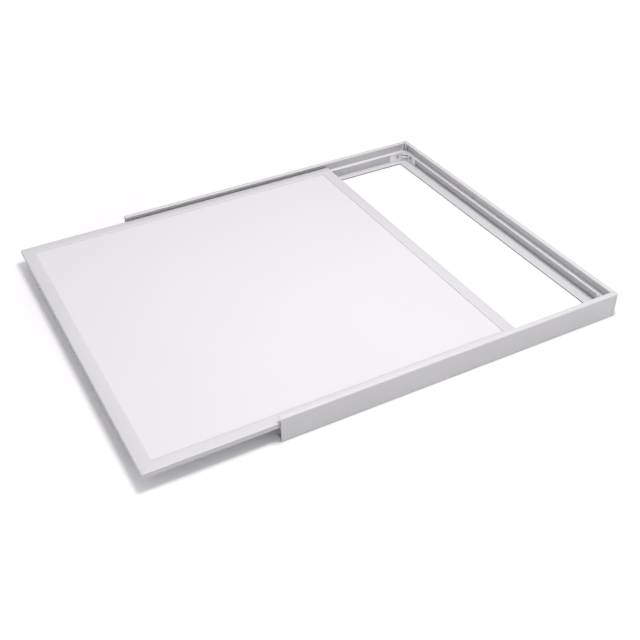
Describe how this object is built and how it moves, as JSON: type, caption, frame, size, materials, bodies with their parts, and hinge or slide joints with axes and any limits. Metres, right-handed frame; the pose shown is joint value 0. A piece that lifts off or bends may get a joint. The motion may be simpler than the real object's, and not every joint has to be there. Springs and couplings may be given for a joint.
{
  "type": "led panel light",
  "caption": "Square edge-lit LED panel light with an opal diffuser and narrow bezel, sliding in a low surface-mount frame that is open on one side, with a slim driver on its back.",
  "frame": {"origin": "centre of the whole outline in X and Y as shown, with the panel part of the way out, on the ceiling plane that the frame's flanges are screwed to", "axes": "+X from the frame's open side to its end rail, +Y away from the front side rail, +Z away from the ceiling, out of the lit face"},
  "size_m": [0.778, 0.604, 0.0415],
  "materials": {
    "frame_coat": "white powder coat, satin",
    "cast_zinc": "bright die casting",
    "bracket_screw": "zinc plated",
    "bezel": "white coated, satin",
    "key_steel": "zinc plated",
    "opal_acrylic": "opal, satin",
    "clear_acrylic": "clear with printed dots",
    "white_film": "white film",
    "white_foam": "closed-cell foam",
    "strip_board": "white solder mask with pale yellow LEDs",
    "back_cover": "white painted sheet steel",
    "small_screw": "nickel plated",
    "driver_plastic": "white moulded",
    "circuit_board": "green solder mask",
    "transformer": "yellow tape over ferrite",
    "capacitor": "dark sleeve",
    "terminal": "green moulded",
    "black_rubber": "matt black",
    "white_nylon": "white moulded"
  },
  "bodies": {
    "frame": {"rail_front": "frame_coat", "rail_back": "frame_coat", "rail_end": "frame_coat", "corner_bracket_front": "cast_zinc", "corner_bracket_back": "cast_zinc", "bracket_screw_front_side_1": "bracket_screw", "bracket_screw_front_end_1": "bracket_screw", "bracket_screw_back_side_1": "bracket_screw", "bracket_screw_back_end_1": "bracket_screw"},
    "panel": {"bezel_front": "bezel", "bezel_leading": "bezel", "bezel_back": "bezel", "bezel_trailing": "bezel", "corner_key_1": "key_steel", "corner_key_2": "key_steel", "corner_key_3": "key_steel", "corner_key_4": "key_steel", "diffuser": "opal_acrylic", "light_guide_plate": "clear_acrylic", "reflector_sheet": "white_film", "foam_sheet": "white_foam", "led_strip_front": "strip_board", "led_strip_back": "strip_board", "back_cover": "back_cover", "cover_screw_1": "small_screw", "cover_screw_2": "small_screw", "cover_screw_3": "small_screw", "cover_screw_4": "small_screw", "cover_screw_5": "small_screw", "cover_screw_6": "small_screw", "cover_screw_7": "small_screw", "cover_screw_8": "small_screw", "driver_case": "driver_plastic", "driver_lid": "driver_plastic", "driver_board": "circuit_board", "driver_transformer": "transformer", "driver_capacitor_1": "capacitor", "driver_capacitor_2": "capacitor", "mains_terminal": "terminal", "driver_screw_1": "small_screw", "driver_screw_2": "small_screw", "dc_lead": "black_rubber", "lead_entry": "black_rubber", "lead_clip": "white_nylon"}
  },
  "joints": [
    {"name": "panel_slide", "type": "slide", "parent": "frame", "child": "panel", "axis": [1, 0, 0], "range_m": [-0.36, 0.1795]}
  ]
}
